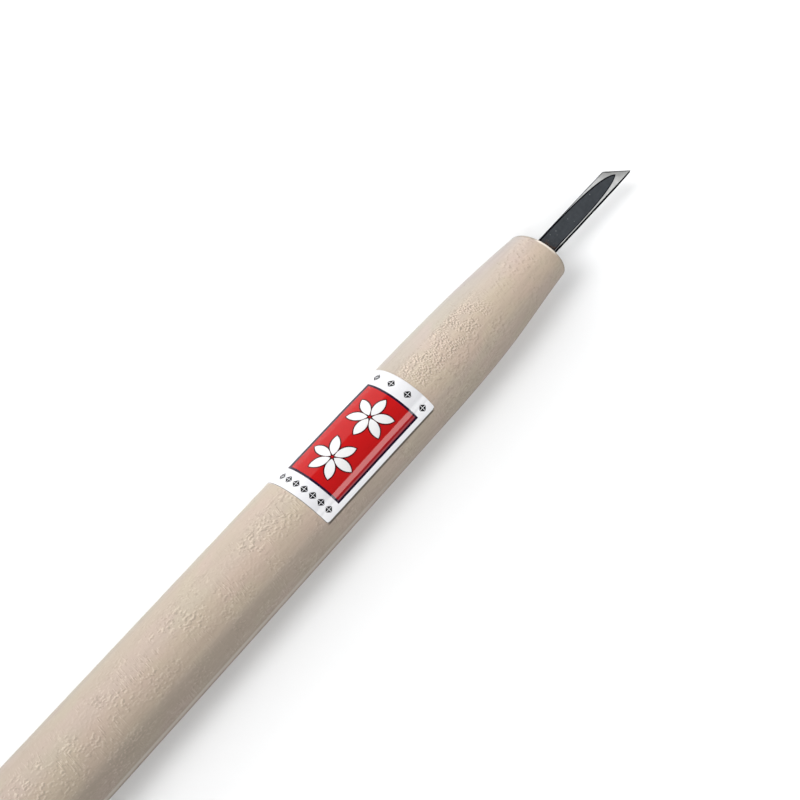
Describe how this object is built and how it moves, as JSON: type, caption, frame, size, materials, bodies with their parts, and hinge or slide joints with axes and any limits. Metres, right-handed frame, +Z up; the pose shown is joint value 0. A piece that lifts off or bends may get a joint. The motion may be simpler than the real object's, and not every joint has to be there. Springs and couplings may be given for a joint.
{
  "type": "chip carving knife",
  "caption": "Japanese skew carving knife: narrow laminated blade with a hollow-ground flat, glued into a round split wooden handle with a paper label.",
  "frame": {"origin": "centre of the flat butt face, on the axis of the handle", "axes": "+X along the handle's axis from the butt to the point of the blade, +Z up and square to the flat of the blade, +Y towards the heel of the cutting edge"},
  "size_m": [0.201, 0.018, 0.0181],
  "materials": {
    "handle_wood": "bare sanded pale hardwood with fine flecks",
    "forged_iron": "black forge scale, ground bright on the bevel",
    "ground_steel": "ground flat, dark in the hollow",
    "label_print": "glossy white label with a red printed panel"
  },
  "bodies": {
    "root": {"handle_upper_half": "handle_wood", "handle_lower_half": "handle_wood", "blade_iron_body": "forged_iron", "blade_steel_face": "ground_steel", "label": "label_print"}
  },
  "joints": []
}
